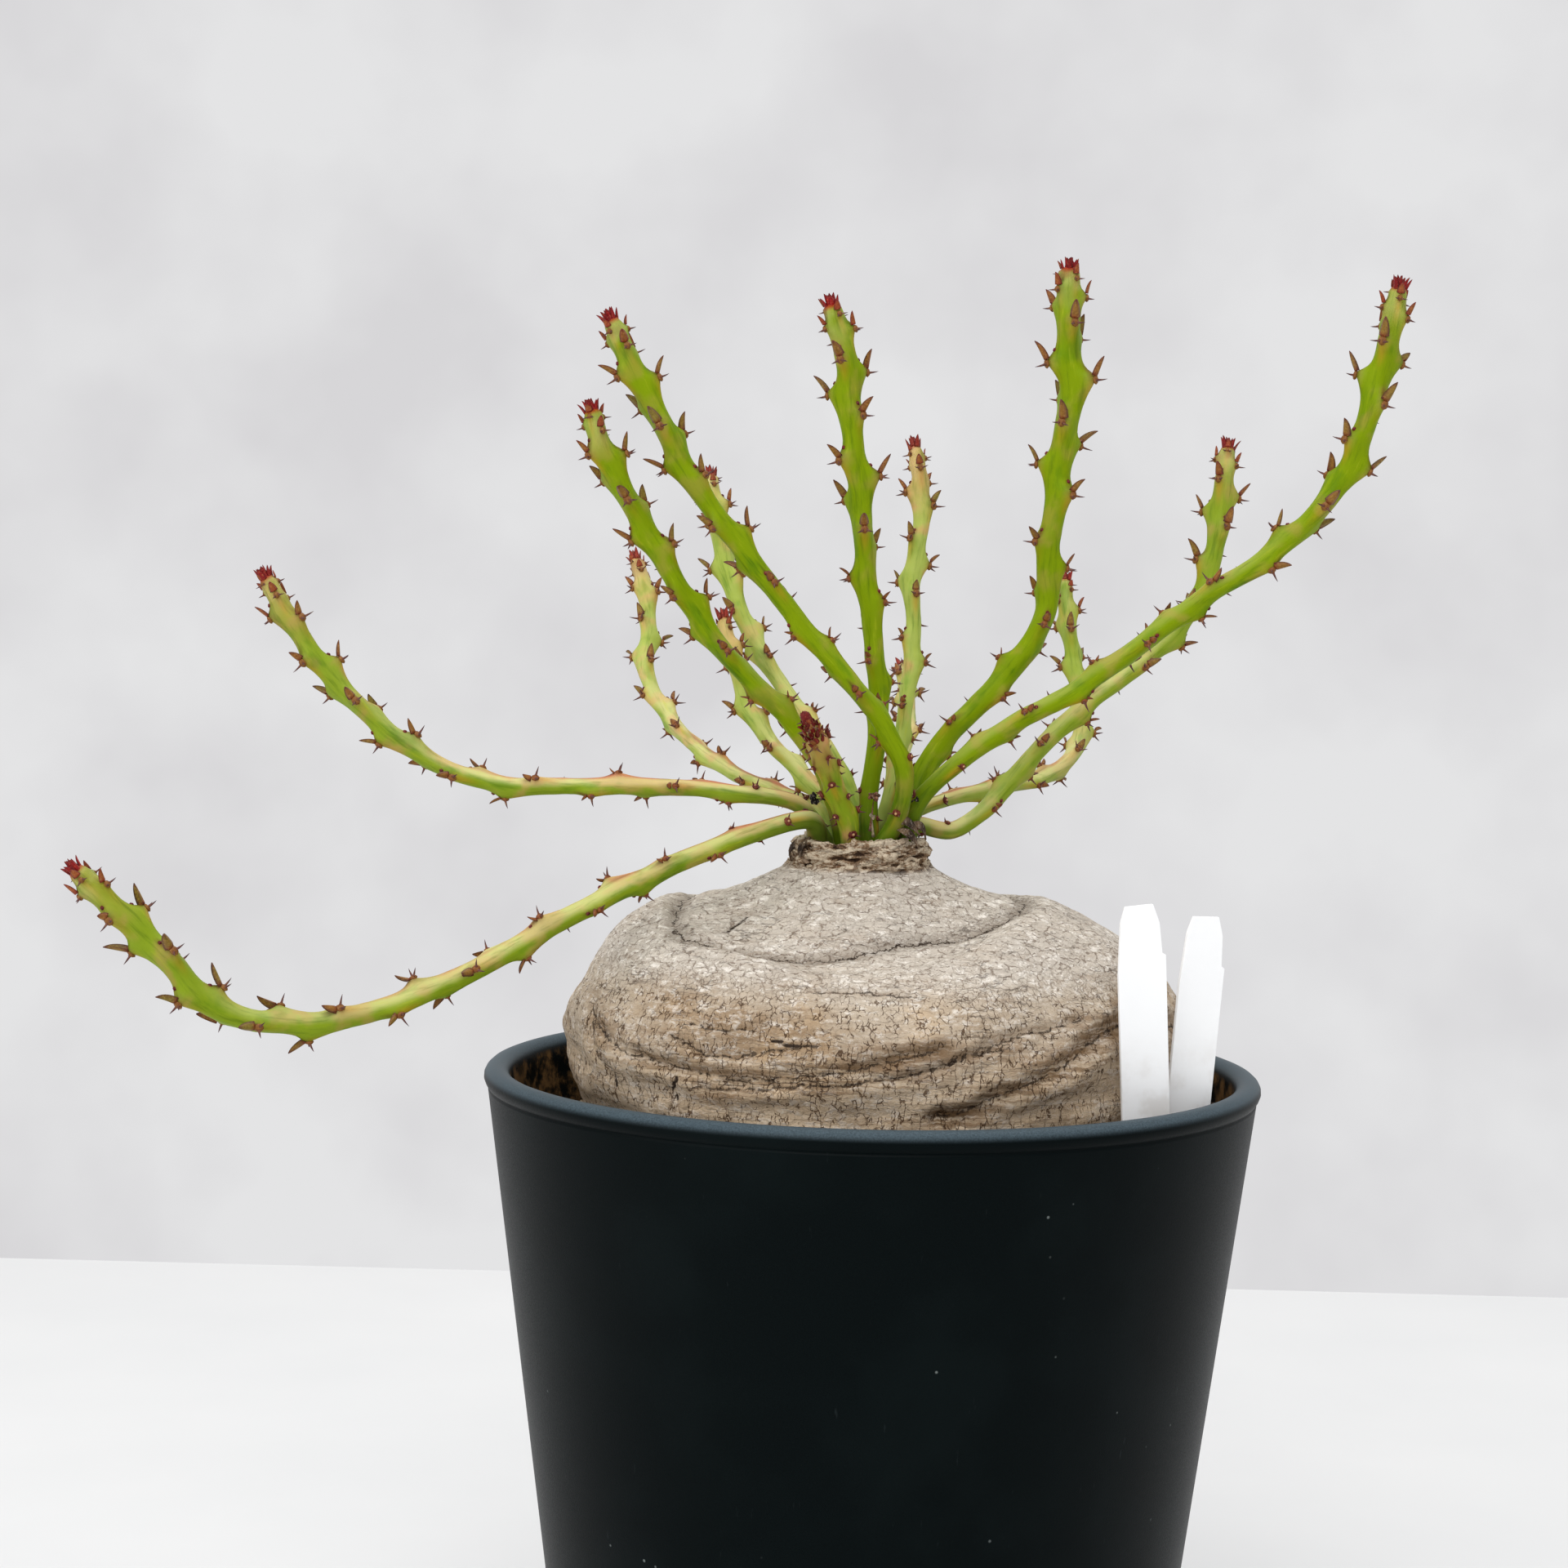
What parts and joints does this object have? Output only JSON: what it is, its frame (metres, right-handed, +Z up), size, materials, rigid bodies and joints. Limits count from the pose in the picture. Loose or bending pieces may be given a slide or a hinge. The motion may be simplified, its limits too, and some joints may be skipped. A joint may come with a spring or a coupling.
{
  "type": "potted euphorbia decidua",
  "caption": "Caudex succulent with spiny leafy stems growing from a swollen brown tuber, in a dark round plastic pot with plant labels.",
  "frame": {"origin": "centre of the pot's flat underside", "axes": "+Z up the pot's axis, -Y towards the side that the picture shows, +X to its right; -Z is the underside's outward normal"},
  "size_m": [0.2362, 0.1527, 0.2897],
  "materials": {
    "pot": "near-black blue-green moulded plastic, satin lip",
    "soil": "gritty baked-clay granules, brown",
    "bark": "dry wrinkled corky skin, greyish beige to brown",
    "label": "plain white semi-gloss strip",
    "stem": "smooth waxy yellow-green skin with red-brown leaves and spines"
  },
  "bodies": {
    "root": {"pot": "pot", "soil": "soil", "tuber": "bark", "label_short": "label", "label_leaning": "label", "stem_low_left": "stem", "stem_left": "stem", "stem_left_rising": "stem", "stem_front_rising": "stem", "stem_back_left_tall": "stem", "stem_back_left_hook": "stem", "stem_back_left_low": "stem", "stem_front_short": "stem", "stem_centre": "stem", "stem_back_centre": "stem", "stem_right_tall": "stem", "stem_right_long": "stem", "stem_right_low": "stem", "stem_back_right_hook": "stem", "stem_back_short": "stem"}
  },
  "joints": []
}
